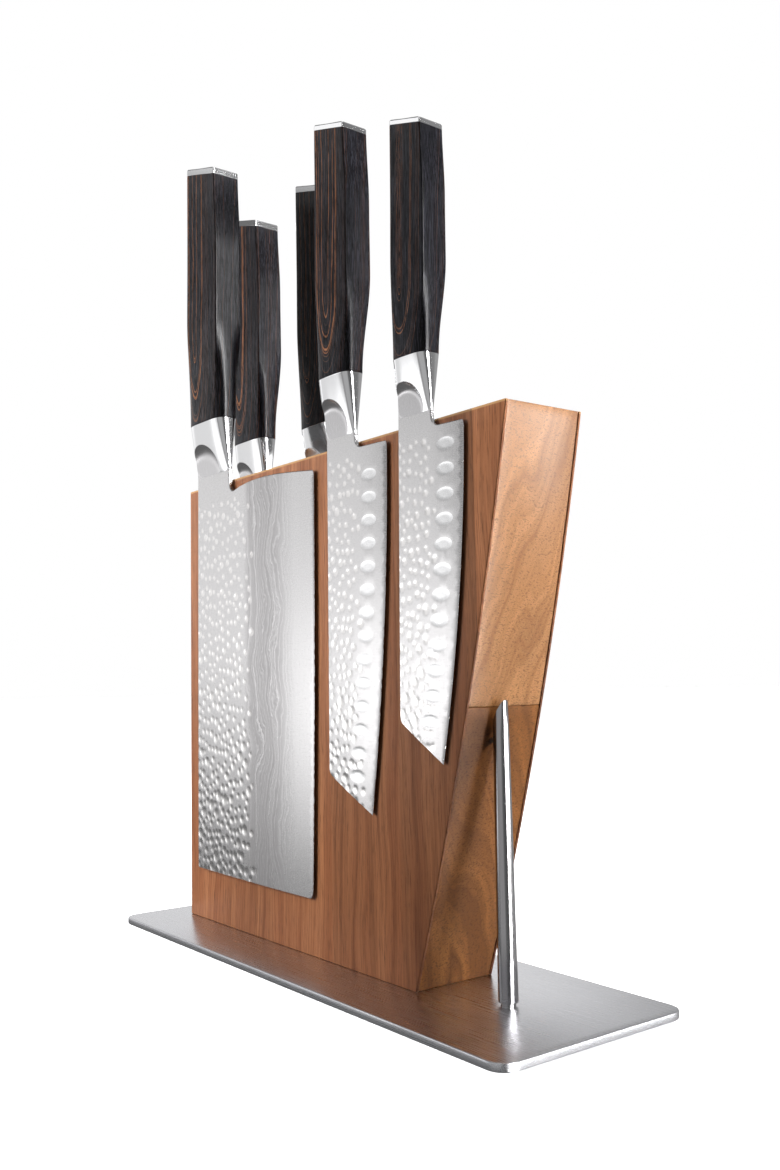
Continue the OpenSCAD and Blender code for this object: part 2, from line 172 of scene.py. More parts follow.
class Shader:
    """A Principled material with short ways to add nodes. Coordinates are in millimetres."""

    def __init__(self, name, **inputs):
        self.material = bpy.data.materials.new(name)
        self.material.use_nodes = True
        self.tree = self.material.node_tree
        self.bsdf = self.tree.nodes["Principled BSDF"]
        for key, value in inputs.items():
            self.put(self.bsdf, key.replace("_", " "), value)

    def put(self, node, key, value):
        socket = node.inputs[key]
        if isinstance(value, bpy.types.NodeSocket):
            self.tree.links.new(value, socket)
        else:
            socket.default_value = value

    def node(self, kind, inputs=None, **settings):
        made = self.tree.nodes.new("ShaderNode" + kind)
        for key, value in settings.items():
            setattr(made, key, value)
        for key, value in (inputs or {}).items():
            self.put(made, key, value)
        return made

    def spot(self, scale=(1, 1, 1)):
        """The piece's own coordinates in mm, scaled."""
        place = self.node("Attribute", attribute_name="spot").outputs["Vector"]
        return self.map(place, scale)

    def space(self, scale=(1, 1, 1), shift=(0, 0, 0), turn=(0, 0, 0)):
        """Coordinates of the whole object in mm, for the carried-over CAD nodes."""
        place = self.node("TexCoord").outputs["Object"]
        in_mm = self.map(place, (1 / MM,) * 3)
        return self.map(in_mm, scale, shift, turn)

    def map(self, vector, scale=(1, 1, 1), shift=(0, 0, 0), turn=(0, 0, 0)):
        inputs = {"Vector": vector, "Location": shift, "Rotation": turn, "Scale": scale}
        return self.node("Mapping", inputs).outputs["Vector"]

    def noise(self, vector, scale=1.0, detail=3.0, rough=0.5):
        inputs = {"Vector": vector, "Scale": scale, "Detail": detail, "Roughness": rough}
        return self.node("TexNoise", inputs).outputs["Fac"]

    def math(self, operation, a, b=0.0, clamp=False):
        made = self.node("Math", operation=operation, use_clamp=clamp)
        self.put(made, 0, a)
        self.put(made, 1, b)
        return made.outputs[0]

    def ramp(self, fac, stops):
        """Colour ramp; stops are (place, colour) and a colour may be one grey number."""
        made = self.node("ValToRGB", {"Fac": fac})
        elements = made.color_ramp.elements
        while len(elements) < len(stops):
            elements.new(0.5)
        for element, (place, colour) in zip(elements, stops):
            element.position = place
            grey = not hasattr(colour, "__len__")
            element.color = (colour, colour, colour, 1) if grey else (*colour, 1)
        return made.outputs["Color"]

    def mix(self, fac, a, b, mode="MIX"):
        """Blend of two colours. Sockets 0, 6 and 7 of a Mix node are its colour inputs."""
        made = self.node("Mix", data_type="RGBA", blend_type=mode)
        for key, value in ((0, fac), (6, a), (7, b)):
            if hasattr(value, "__len__") and len(value) == 3:
                value = (*value, 1)
            self.put(made, key, value)
        return made.outputs[2]

    def split(self, vector):
        return self.node("SeparateXYZ", {"Vector": vector}).outputs

    def join(self, x, y, z):
        return self.node("CombineXYZ", {"X": x, "Y": y, "Z": z}).outputs["Vector"]

    def bump(self, height, depth_mm):
        inputs = {"Height": height, "Distance": depth_mm * MM, "Strength": 1.0}
        return self.node("Bump", inputs).outputs["Normal"]


def brushed_steel(name, along, base, rough, depth=0.012):
    """Steel with fine brush lines along one axis; along holds that axis's small scale."""
    s = Shader(name, Metallic=1.0)
    at = s.spot(scale=along)
    lines = s.noise(at, 1.0, 5.0, 0.65)
    cloud = s.noise(s.spot(), 0.02, 2.0)
    low, high = rough
    s.put(s.bsdf, "Roughness", s.ramp(lines, [(0.25, low), (0.75, high)]))
    dark = tuple(c * 0.86 for c in base)
    tone = s.mix(s.ramp(lines, [(0.3, 0.0), (0.7, 1.0)]), dark, base)
    s.put(s.bsdf, "Base Color", s.mix(s.ramp(cloud, [(0.35, 0.0), (0.7, 0.25)]), tone, (0.7, 0.7, 0.71)))
    s.put(s.bsdf, "Normal", s.bump(lines, depth))
    return s.material


def polished_steel(name):
    """Mirror-polished steel with a trace of fine scratches."""
    s = Shader(name, Metallic=1.0)
    marks = s.noise(s.spot(scale=(5, 5, 0.5)), 1.0, 4.0, 0.6)
    s.put(s.bsdf, "Base Color", s.ramp(marks, [(0.3, (0.7, 0.7, 0.71)), (0.7, (0.78, 0.78, 0.79))]))
    s.put(s.bsdf, "Roughness", s.ramp(marks, [(0.3, 0.07), (0.75, 0.14)]))
    s.put(s.bsdf, "Normal", s.bump(marks, 0.002))
    return s.material


def bolster_steel():
    """Polished steel that turns satin where the attribute 'satin' is 1, in the thumb scoop."""
    s = Shader("bolster_steel", Metallic=1.0)
    satin = s.node("Attribute", attribute_name="satin").outputs["Fac"]
    lines = s.noise(s.spot(scale=(9, 9, 0.35)), 1.0, 4.0, 0.6)
    s.put(s.bsdf, "Base Color", s.mix(satin, (0.66, 0.66, 0.67), (0.6, 0.59, 0.6)))
    rough = s.math("ADD", s.math("MULTIPLY", satin, 0.2), s.ramp(lines, [(0.3, 0.06), (0.75, 0.12)]))
    s.put(s.bsdf, "Roughness", rough)
    s.put(s.bsdf, "Normal", s.bump(lines, 0.004))
    return s.material


def blade_steel(name, first_line, last_line):
    """Satin blade steel. Wavy layer lines run down the blade between two distances from the
    spine; the hammer-mark attribute is 1 in the hammered part, where the colour is lighter as a painted
    glint, and the hollows attribute is 1 in the ground hollows, lighter as a painted reflection."""
    s = Shader(name, Metallic=1.0)
    hammer = s.node("Attribute", attribute_name="hammer").outputs["Fac"]
    ground = s.node("Attribute", attribute_name="ground").outputs["Fac"]
    here = s.spot()
    x, _, z = s.split(here)
    # the layers: bands along the blade that wander and widen like contour lines
    slow = s.noise(s.spot(scale=(0.03, 0.03, 0.022)), 1.0, 2.0)
    quick = s.noise(s.spot(scale=(0.5, 0.5, 0.3)), 1.0, 3.0)
    sway = s.math("MULTIPLY", s.math("SUBTRACT", slow, 0.5), 26.0)
    ragged = s.math("MULTIPLY", s.math("SUBTRACT", quick, 0.5), 2.6)
    across = s.math("ADD", s.math("ADD", x, sway), ragged)
    layer = s.noise(s.join(s.math("MULTIPLY", across, 0.34), 0.0, 0.0), 1.0, 2.0, 0.6)
    band = s.ramp(layer, [(0.40, 0.0), (0.47, 1.0), (0.55, 0.15), (0.62, 0.9)])
    fade_in = s.node("MapRange", {"Value": x, "From Min": first_line, "From Max": first_line + 5}).outputs[0]
    fade_out = s.node("MapRange", {"Value": x, "From Min": last_line - 18, "From Max": last_line}).outputs[0]
    fade = s.math("SUBTRACT", fade_in, fade_out, True)
    band = s.math("MULTIPLY", band, fade)
    # brush marks along and across give a faint woven look
    down = s.noise(s.spot(scale=(8, 8, 0.12)), 1.0, 4.0, 0.6)
    over = s.noise(s.spot(scale=(0.25, 1, 6)), 1.0, 3.0, 0.6)
    brush = s.math("MULTIPLY", s.math("ADD", down, over), 0.5)
    base = s.mix(s.ramp(brush, [(0.35, 0.0), (0.65, 1.0)]), (0.61, 0.6, 0.605), (0.65, 0.64, 0.645))
    base = s.mix(s.math("MULTIPLY", band, 0.75), base, (0.36, 0.345, 0.35))
    # Painted highlight: the hammer marks are lighter, standing in for their glints.
    base = s.mix(s.math("MULTIPLY", hammer, 0.6), base, (0.84, 0.82, 0.81))
    # Painted reflection: the hollows are lighter, standing in for the light they mirror.
    base = s.mix(s.math("MULTIPLY", ground, 0.8), base, (0.86, 0.86, 0.87))
    s.put(s.bsdf, "Base Color", base)
    rough = s.math("ADD", s.ramp(brush, [(0.35, 0.22), (0.65, 0.3)]), s.math("MULTIPLY", hammer, -0.1))
    s.put(s.bsdf, "Roughness", s.math("ADD", rough, s.math("MULTIPLY", band, 0.12)))
    s.put(s.bsdf, "Normal", s.bump(s.math("ADD", brush, s.math("MULTIPLY", band, -0.6)), 0.004))
    return s.material


def handle_wood():
    """Charcoal laminated wood: thin rusty and grey lines run down the grip and close into
    long loops near the bolster; the grey fibre streaks are partly the wood's fibre and partly painted sheen."""
    s = Shader("grip_wood", Coat_Roughness=0.24)
    x, y, z = s.split(s.spot())
    seed = s.node("Attribute", attribute_name="seed").outputs["Fac"]
    # how far a point is below the height where the loops start, and its distance in layers
    rise = s.node("Attribute", attribute_name="rise").outputs["Fac"]
    below = s.math("MINIMUM", s.math("SUBTRACT", rise, 0.32), 0.0)
    side = s.math("SUBTRACT", x, 7.5)
    wander = s.noise(s.spot(scale=(0.08, 0.08, 0.012)), 1.0, 3.0)
    side = s.math("ADD", side, s.math("MULTIPLY", s.math("SUBTRACT", wander, 0.5), 7.0))
    loop = s.math("POWER", s.math("ABSOLUTE", s.math("MULTIPLY", below, 30.0)), 2.0)
    reach = s.math("SQRT", s.math("ADD", s.math("MULTIPLY", side, side), loop))
    strong = s.ramp(s.math("MULTIPLY", reach, 0.1), [(0.75, 1.0), (1.0, 0.12)])
    layers = s.math("ADD", reach, s.math("MULTIPLY", y, 0.95))
    layers = s.math("ADD", layers, s.math("MULTIPLY", seed, 37.0))
    thick = s.noise(s.join(s.math("MULTIPLY", layers, 0.55), seed, 0.0), 1.0, 2.0, 0.6)
    thin = s.noise(s.join(s.math("MULTIPLY", layers, 2.1), seed, 5.0), 1.0, 3.0, 0.6)
    fibre = s.noise(s.spot(scale=(2.6, 2.6, 0.07)), 1.0, 5.0, 0.75)
    pores = s.noise(s.spot(scale=(4.2, 4.2, 0.2)), 1.0, 3.0, 0.6)
    dark = s.mix(s.ramp(thin, [(0.42, 0.0), (0.6, 1.0)]), (0.0012, 0.0012, 0.002), (0.006, 0.0058, 0.008))
    rust = s.ramp(thick, [(0.555, 0.0), (0.585, 1.0), (0.61, 0.0), (0.66, 0.0)])
    rust = s.math("MULTIPLY", s.math("MULTIPLY", rust, strong), s.ramp(fibre, [(0.35, 0.3), (0.6, 1.0)]))
    hair = s.ramp(thin, [(0.60, 0.0), (0.63, 1.0), (0.66, 0.0)])
    # Grey fibre streaks: partly the wood's own fibre, partly painted sheen standing in for the streaky
    # reflections of the finish.
    colour = s.mix(s.ramp(fibre, [(0.5, 0.0), (0.58, 0.8)]), dark, (0.026, 0.026, 0.034))
    colour = s.mix(s.math("MULTIPLY", hair, 0.65), colour, (0.15, 0.065, 0.035))
    colour = s.mix(s.math("MULTIPLY", rust, 0.95), colour, (0.46, 0.17, 0.06))
    colour = s.mix(s.ramp(pores, [(0.34, 0.85), (0.46, 0.0)]), colour, (0.001, 0.001, 0.0015))
    s.put(s.bsdf, "Base Color", colour)
    s.put(s.bsdf, "Roughness", s.ramp(fibre, [(0.3, 0.24), (0.7, 0.42)]))
    s.put(s.bsdf, "Specular IOR Level", s.ramp(pores, [(0.34, 0.0), (0.5, 0.05)]))
    s.put(s.bsdf, "Coat Weight", s.ramp(fibre, [(0.40, 0.06), (0.56, 0.3)]))
    s.put(s.bsdf, "Normal", s.bump(s.math("ADD", fibre, pores), 0.03))
    return s.material


def board_wood(name, staves, cold, warm, deep, top):
    """Oiled reddish-brown face wood in upright staves with straight grain and fine pores, with a painted
    highlight along the top edge.
    """
    s = Shader(name, Specular_IOR_Level=0.25)
    x, y, z = s.split(s.spot())
    stave = s.math("FLOOR", s.math("DIVIDE", s.math("ADD", x, 500.0), staves))
    tone = s.node("TexWhiteNoise", {"W": stave}, noise_dimensions="1D").outputs["Value"]
    shift = s.math("MULTIPLY", tone, 400.0)

    def along_grain(across, fine, slow, detail, rough):
        place = s.join(s.math("MULTIPLY", across, fine), shift, s.math("MULTIPLY", z, slow))
        return s.noise(place, 1.0, detail, rough)

    wave = along_grain(x, 0.02, 0.006, 2.0, 0.5)
    bent = s.math("ADD", x, s.math("MULTIPLY", wave, 26.0))
    streak = along_grain(bent, 0.16, 0.004, 4.0, 0.6)
    grain = along_grain(bent, 0.9, 0.012, 4.0, 0.65)
    pores = s.noise(s.spot(scale=(3.2, 3.2, 0.11)), 1.0, 4.0, 0.7)
    colour = s.mix(s.ramp(streak, [(0.34, 0.0), (0.66, 1.0)]), cold, warm)
    colour = s.mix(s.ramp(grain, [(0.36, 0.55), (0.55, 0.0)]), colour, deep)
    colour = s.mix(s.ramp(pores, [(0.36, 0.6), (0.46, 0.0)]), colour, tuple(c * 0.4 for c in deep))
    # Painted highlight: a lighter strip along the top edge, where the eased edge catches the light.
    painted_top_highlight = s.node("MapRange", {"Value": z, "From Min": top - 1.1, "From Max": top - 0.7}).outputs[0]
    colour = s.mix(s.math("MULTIPLY", painted_top_highlight, 0.8), colour, (0.56, 0.33, 0.15))
    lift = s.math("ADD", s.math("MULTIPLY", tone, 0.7), 0.6)
    colour = s.mix(1.0, colour, s.join(lift, lift, lift), "MULTIPLY")
    s.put(s.bsdf, "Base Color", colour)
    s.put(s.bsdf, "Roughness", s.ramp(grain, [(0.3, 0.5), (0.7, 0.38)]))
    s.put(s.bsdf, "Normal", s.bump(s.math("ADD", pores, s.math("MULTIPLY", grain, 0.5)), 0.05))
    return s.material


def core_wood(name, light, dark, lacquer, tilt, seed):
    """Golden acacia of the thick core: arched growth bands and dense short dark pores."""
    s = Shader(name, Specular_IOR_Level=0.25, Coat_Weight=lacquer, Coat_Roughness=0.25)
    turned = s.space(shift=(seed, 0, 0), turn=(tilt, 0, 0))
    _, y, z = s.split(turned)
    swirl = s.noise(s.map(turned, (0.02, 0.06, 0.018)), 1.0, 2.0, 0.5)
    arch = s.math("MULTIPLY", s.math("ABSOLUTE", s.math("SUBTRACT", y, 4.0)), 0.16)
    arch = s.math("ADD", arch, s.math("MULTIPLY", z, 0.035))
    bands = s.math("ADD", arch, s.math("MULTIPLY", swirl, 5.0))
    ring = s.noise(s.join(bands, seed, 0.0), 1.0, 4.0, 0.6)
    cloud = s.noise(s.map(turned, (0.02, 0.03, 0.014)), 1.0, 2.0)
    fleck = s.noise(s.map(turned, (0.8, 0.85, 1.9)), 1.0, 1.5, 0.5)
    fine = s.noise(s.map(turned, (2.0, 2.0, 4.5)), 1.0, 3.0, 0.6)
    colour = s.mix(s.ramp(ring, [(0.33, 0.0), (0.67, 1.0)]), light, dark)
    colour = s.mix(s.ramp(cloud, [(0.38, 0.0), (0.66, 0.6)]), colour, tuple(c * 0.55 for c in dark))
    colour = s.mix(s.ramp(fine, [(0.38, 0.5), (0.52, 0.0)]), colour, tuple(c * 0.55 for c in dark))
    colour = s.mix(s.ramp(fleck, [(0.36, 0.6), (0.43, 0.0)]), colour, tuple(c * 0.4 for c in dark))
    s.put(s.bsdf, "Base Color", colour)
    s.put(s.bsdf, "Roughness", s.ramp(ring, [(0.3, 0.42), (0.7, 0.55)]))
    s.put(s.bsdf, "Normal", s.bump(s.math("ADD", fleck, s.math("MULTIPLY", fine, 0.6)), 0.04))
    return s.material


def plain_wood(name):
    """Pale beech of the dowels inside."""
    s = Shader(name, Roughness=0.6)
    grain = s.noise(s.space(scale=(1.2, 1.2, 0.08)), 1.0, 4.0, 0.6)
    s.put(s.bsdf, "Base Color", s.ramp(grain, [(0.35, (0.62, 0.42, 0.24)), (0.65, (0.78, 0.58, 0.36))]))
    return s.material


def rubber(name):
    """Soft dark foot material with a fine matt grain."""
    s = Shader(name, Specular_IOR_Level=0.3)
    grain = s.noise(s.spot(), 3.0, 3.0)
    s.put(s.bsdf, "Base Color", s.ramp(grain, [(0.3, 0.018), (0.7, 0.035)]))
    s.put(s.bsdf, "Roughness", s.ramp(grain, [(0.3, 0.7), (0.7, 0.85)]))
    s.put(s.bsdf, "Normal", s.bump(grain, 0.05))
    return s.material


def plated(name, base, rough):
    """Plated metal of the hidden fixings and magnets."""
    s = Shader(name, Metallic=1.0)
    cloud = s.noise(s.space(), 0.4, 3.0)
    s.put(s.bsdf, "Base Color", s.ramp(cloud, [(0.3, tuple(c * 0.85 for c in base)), (0.7, base)]))
    s.put(s.bsdf, "Roughness", s.ramp(cloud, [(0.3, rough), (0.7, rough + 0.15)]))
    return s.material


STAVE_WIDTH = 46.0
board_top = box_mm("front_panel")[1][2]
plate_finish = brushed_steel(
    "plate_steel", (0.03, 3.5, 3.5), base=(0.63, 0.63, 0.66), rough=(0.22, 0.34), depth=0.02
)
# The post's steel is a darker copy of the plate's: its darker base colour is painted shade for the post's
# dark look.
post_finish = brushed_steel("post_steel", (2.5, 2.5, 0.06), base=(0.4, 0.39, 0.4), rough=(0.12, 0.2))
cap_finish = polished_steel("cap_steel")
bolster_finish = bolster_steel()
grip_finish = handle_wood()
face_finish = board_wood(
    "board_wood", STAVE_WIDTH, (0.25, 0.088, 0.036), (0.41, 0.17, 0.075), (0.12, 0.042, 0.018), board_top
)
upper_finish = core_wood("end_grain_high", (0.66, 0.32, 0.125), (0.31, 0.125, 0.038), 1.0, 0.12, 40.0)
# The lower block is the same acacia in darker colours: partly its own darker tone, partly painted shade for
# the less lit lower end face.
lower_finish_painted_shade = core_wood("end_grain_low", (0.40, 0.16, 0.045), (0.125, 0.043, 0.012), 0.08, -0.35, 160.0)
foot_finish = rubber("foot_rubber")
hidden_finishes = {
    "board_screws": plated("screw_zinc", (0.6, 0.6, 0.58), 0.35),
    "post_screw": plated("post_screw_zinc", (0.6, 0.6, 0.58), 0.35),
    "post_pin": plated("pin_steel", (0.6, 0.6, 0.6), 0.25),
    "core_dowels": plain_wood("dowel_beech"),
    "front_magnets": plated("magnet_nickel", (0.66, 0.64, 0.6), 0.2),
    "back_magnets": plated("magnet_nickel_back", (0.66, 0.64, 0.6), 0.2),
    "front_keepers": plated("keeper_zinc", (0.5, 0.5, 0.5), 0.4),
    "back_keepers": plated("keeper_zinc_back", (0.5, 0.5, 0.5), 0.4),
}
for node, finish in hidden_finishes.items():
    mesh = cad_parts[node].data
    mesh.materials.clear()
    mesh.materials.append(finish)


# ---------------------------------------------------------------- stand


def side_slab(outline, y_low, y_high, ease):
    """A panel lying in the XZ plane with eased edges, from its side-view outline."""
    outline = np.asarray(outline)
    inner = inward(outline)
    rings = []
    for turn in np.radians([0, 30, 60, 90]):
        ring = outline + inner * ease * (1 - math.sin(turn))
        rings.append((ring, y_low + ease * (1 - math.cos(turn))))
    rings += [(ring, y_low + y_high - y) for ring, y in reversed(rings)]
    return loft([np.stack([r[:, 0], np.full(len(r), y), r[:, 1]], 1) for r, y in rings])


# The board's foot as a share of its top, and the radius of its slowly curved end
BOARD_FOOT_SHARE = 177 / 233
END_RADIUS = 1500.0


def board_outline(low_z, high_z, step):
    """Side view of a slice of the board: straight on the left, a slow curve on the right."""
    low, high = box_mm("front_panel")
    foot_x = low[0] + (high[0] - low[0]) * BOARD_FOOT_SHARE
    count = 24
    z = np.linspace(low_z, high_z, count)
    along = (z - low[2]) / (high[2] - low[2])
    chord = np.hypot(high[0] - foot_x, high[2] - low[2])
    sag = chord * chord / 8 / END_RADIUS
    right = foot_x + (high[0] - foot_x) * along + 4 * sag * along * (1 - along) - step
    left = low[0]
    return resample(rounded([(left, low_z)] + list(zip(right, z)) + [(left, high_z)], 0.5, 3), 12.0)


def plate():
    """Base plate: round corners and softly broken edges."""
    low, high = box_mm("base_plate")
    corner, ease = 8.0, 0.45
    outline = rounded(
        [(low[0], low[1]), (high[0], low[1]), (high[0], high[1]), (low[0], high[1])], corner, 16
    )
    outline = resample(outline, 20.0)
    inner = inward(outline)
    rings = []
    for turn in np.radians([0, 22, 45, 68, 90]):
        ring = outline + inner * ease * (1 - math.sin(turn))
        rings.append((ring, low[2] + ease * (1 - math.cos(turn))))
    rings += [(ring, low[2] + high[2] - z) for ring, z in reversed(rings)]
    points, faces = loft([np.column_stack([r, np.full(len(r), z)]) for r, z in rings])
    make_piece("steel_plate", points, faces, plate_finish, "stand", ["base_plate"], "plate_steel", 30)


def feet():
    """Four low rubber pads with rounded rims."""
    low, high = box_mm("foot_pads")
    radius, ease = 6.0, 0.35
    for i, (x, y) in enumerate([(0, 0), (1, 0), (1, 1), (0, 1)]):
        centre = [(low[0] + radius, high[0] - radius)[x], (low[1] + radius, high[1] - radius)[y]]
        profile = [(radius - ease, low[2]), (radius - ease * 0.3, low[2] + ease * 0.3)]
        profile += [(radius, low[2] + ease), (radius, high[2])]
        points, faces = lathe(profile, centre, 48)
        nodes = ["foot_pads"] if i == 0 else []
        make_piece(f"foot_pad_{i + 1}", points, faces, foot_finish, "stand", nodes, "feet")


def post():
    """Tapered post with a shadow groove at its foot and an oblique cut at its top."""
    low, high = box_mm("support_post")
    foot_r = (high[0] - low[0]) / 2
    tip_r = foot_r * 2.9 / 3.6
    cut_height, ease, groove = 10.0, 0.35, 0.9
    centre = (low[:2] + high[:2]) / 2
    turn = np.linspace(0, 2 * math.pi, 96, endpoint=False)
    around = np.stack([np.cos(turn), np.sin(turn)], 1)
    rings = []

    def ring(radius, heights):
        rings.append(np.column_stack([centre + around * radius, heights]))

    full = np.ones(96)
    ring(foot_r - groove, full * low[2])
    ring(foot_r - groove, full * (low[2] + 1.0))
    ring(foot_r - ease * 0.3, full * (low[2] + 1.2))
    ring(foot_r, full * (low[2] + 1.6))
    cut = high[2] - cut_height * (1 - around[:, 0]) / 2
    for share in (0.25, 0.5, 0.75, 0.9):
        ring(foot_r + (tip_r - foot_r) * share, low[2] + (cut - low[2]) * share)
    for drop, inset in ((ease, 0.0), (ease * 0.3, ease * 0.3), (0.0, ease)):
        ring(tip_r - inset, cut - drop)
    points, faces = loft(rings)
    make_piece("steel_post", points, faces, post_finish, "stand", ["support_post"], "post_steel")


def panels():
    """Thin face panels with eased edges, front and back."""
    for node in ("front_panel", "back_panel"):
        low, high = box_mm(node)
        outline = board_outline(low[2], high[2], 0.0)
        points, faces = side_slab(outline, low[1], high[1], 0.35)
        make_piece(f"{node}_wood", points, faces, face_finish, "stand", [node], "board_wood")


def cores():
    """The two thick core blocks, a little shorter than the panels."""
    # The lower block's darker finish holds painted shade.
    for node, finish, slot in (
        ("core_lower", lower_finish_painted_shade, "end_grain_low"),
        ("core_upper", upper_finish, "end_grain_high"),
    ):
        low, high = box_mm(node)
        outline = board_outline(low[2], high[2], 0.3)
        points, faces = side_slab(outline, low[1], high[1], 0.3)
        make_piece(f"{node}_wood", points, faces, finish, "stand", [node], slot)


plate()
feet()
post()
panels()
cores()

# ---------------------------------------------------------------- knives
# A knife is drawn with its spine at x = 0, its edge towards +X, its heel at z = 0 and its
# tip down, centred on y = 0, and then placed by the box of its CAD blade.


class Knife:
    """Driving sizes of one knife in mm, the same as its CAD nodes."""

    def __init__(self, name, tip, length, width, neck, bolster, scoop, grip, **more):
        self.name = name
        self.tip = tip
        self.length = length
        self.width = width
        self.neck = neck
        self.bolster_w, self.bolster_t, self.bolster_top = bolster
        self.scoop_r, self.scoop_x, self.scoop_z = scoop
        self.grip_w, self.grip_t, self.grip_len, self.grip_x = grip
        self.edge_in = more.get("edge_in", 0.0)
        self.tilt = math.radians(more.get("tilt", 0.0))
        self.tip_x = more.get("tip_x", 0.0)
        self.belly = more.get("belly", 2.0)
        self.hollows = more.get("hollows", (0, 0.0, 0.0))
        self.crown = more.get("crown", 0.0)
        self.hammered = more["hammered"]
        self.seed = more["seed"]
        low, high = box_mm(f"{name}_blade")
        self.thick = high[1] - low[1]
        tip_x = self.edge_x(-length)
        self.origin = np.array([
            low[0] + length * math.sin(self.tilt),
            (low[1] + high[1]) / 2,
            low[2] + tip_x * math.sin(self.tilt) + length * math.cos(self.tilt),
        ])
        bolster_low, _ = box_mm(f"{name}_bolster")
        self.bolster_foot = bolster_low[2] - self.origin[2]
        self.bolster_left = self.grip_x * 0.9
        self.bolster_mid = self.bolster_left + self.bolster_w / 2

    def edge_x(self, z):
        """Distance of the cutting edge from the spine line at a height."""
        down = np.clip(-np.asarray(z, float) / self.length, 0, 1)
        if self.tip == "pointed":
            return self.width - (self.width - self.tip_x) * down**self.belly
        return self.width - self.edge_in * down**2

    def place(self, points):
        """From the knife's own coordinates to the object's."""
        c, s = math.cos(self.tilt), math.sin(self.tilt)
        x = points[:, 0] * c + points[:, 2] * s
        z = points[:, 2] * c - points[:, 0] * s
        return np.stack([x, points[:, 1], z], 1) + self.origin


KNIVES = [
    Knife("cleaver", "square", 180, 103, 31.6, (33, 12, 36.5), (25.6, 6.5, 2.5), (32.3, 14, 120.3, -3),
          edge_in=3.5, tilt=0.3, crown=2.8, hammered=(50, 4.2, 5.6), seed=1),
    Knife("santoku", "angled", 145.5, 40, 19.8, (22, 11, 31.5), (16, 3.5, 7.5), (24.5, 12.5, 100.5, -2.2),
          edge_in=11.7, tilt=0.6, hollows=(14, -12.0, 11.0), hammered=(22.5, 3.6, 5.4), seed=2),
    Knife("petty", "angled", 123.5, 37, 19.6, (19.8, 10.4, 28), (14.6, 4.9, 5.5), (21.4, 11.5, 86, 0.2),
          edge_in=12.8, tilt=1.2, hollows=(12, -7.5, 9.5), hammered=(21, 3.6, 5.4), seed=3),
    Knife("chef", "pointed", 194, 45, 24, (30.6, 12, 36.5), (19.5, 2.5, 8.5), (32, 14, 112.8, -3),
          tip_x=12, belly=2.4, hammered=(22, 3.6, 5.2), seed=4),
    Knife("slicer", "pointed", 188, 34, 24, (30.6, 12, 36.5), (19.5, 2.5, 8.5), (32, 14, 111.2, -3),
          tip_x=8, belly=4, hammered=(17, 3.4, 5.0), seed=5),
]


def blade_outline(k):
    """Counter-clockwise side view of the blade and its neck, up to inside the bolster."""
    choil, heel, corner, tip_r = 4.0, 1.6, 3.0, 4.0
    neck_top = k.bolster_top - 8
    steps = np.linspace(0, 1, 24)
    neck = [
        (k.bolster_left + k.bolster_w - 2.0, neck_top),
        (k.bolster_left * 0.6, neck_top),
        (0, k.bolster_foot),
    ]
    heel_arc = arc((k.width - heel, -heel), heel, 0, 90, 6)
    choil_arc = arc((k.neck + choil, choil), choil, 270, 180, 8)
    edge = np.array([(k.edge_x(-k.length * (1 - t)), -k.length * (1 - t)) for t in steps])
    if k.tip == "square":
        low, edge_x = -k.length, k.width - k.edge_in
        spine = arc((corner / 2, low + corner / 2), corner / 2, 180, 270, 4)
        tip = arc((edge_x - corner, low + corner), corner, -90, 0, 6)
        edge = edge[edge[:, 1] > low + corner + 1]
    elif k.tip == "angled":
        knee = -k.length + 12.5 + tip_r
        spine = arc((tip_r, knee), tip_r, 180, 240, 6)
        tip = edge[:1]
        edge = edge[1:]
    else:
        spine = np.array([(k.tip_x * t**4, -k.length * t) for t in steps[1:]])
        tip = edge[:0]
        edge = edge[1:]
    edge = edge[edge[:, 1] < -heel - 0.5]
    share = np.linspace(1, 0, 16)[1:-1]
    top_x = k.neck + choil + (k.width - heel - k.neck - choil) * share
    crown = np.column_stack([top_x, k.crown * np.sin(math.pi * share**0.75)])
    return np.concatenate([neck, spine, tip, edge, heel_arc, crown, choil_arc])


# Half length and half height of a ground hollow, their spacing and how deep they go
HOLLOW = (5.0, 2.5)
HOLLOW_PITCH = 9.15
HOLLOW_DEPTH = 0.1


def hollow_places(k):
    """Centres of the ground oval hollows along the edge."""
    count, first, from_edge = k.hollows
    heights = [first - i * HOLLOW_PITCH for i in range(count)]
    return [(float(k.edge_x(z)) - from_edge, z) for z in heights]


def from_hollow(x, z, centre):
    """Squared distance from a hollow's centre, where its rim is at 1."""
    return ((x - centre[0]) / HOLLOW[0]) ** 2 + ((z - centre[1]) / HOLLOW[1]) ** 2


def dimples(k):
    """Hammer marks: centres, half sizes, turn and depth, packed closer towards the tip."""
    reach, small, large = k.hammered
    tries, border, strays = 26000, 0.86, 0.06
    hollows = hollow_places(k)
    marks = []
    for _ in range(tries):
        down = rng.random() ** 0.8
        z = -4 - (k.length - 4) * down
        limit = min(reach, k.edge_x(z) - 6) * (1 + 0.05 * math.sin(z * 0.35))
        x = rng.uniform(0.3, limit)
        if x > limit * border and rng.random() > strays:
            continue
        if any(from_hollow(x, z, centre) < 2.4 for centre in hollows):
            continue
        grow = small + (large - small) * down
        size = grow * rng.uniform(0.62, 1.1)
        apart = size * (1.15 - 0.42 * down)
        near = [m for m in marks if abs(x - m[0]) < apart]
        if any((x - m[0]) ** 2 + ((z - m[1]) * 0.72) ** 2 < apart**2 for m in near):
            continue
        turn = rng.choice([-1, 1]) * rng.uniform(0.1, 0.75)
        marks.append((x, z, size * 0.45, size * rng.uniform(0.38, 0.55), turn, size * 0.03))
    return marks


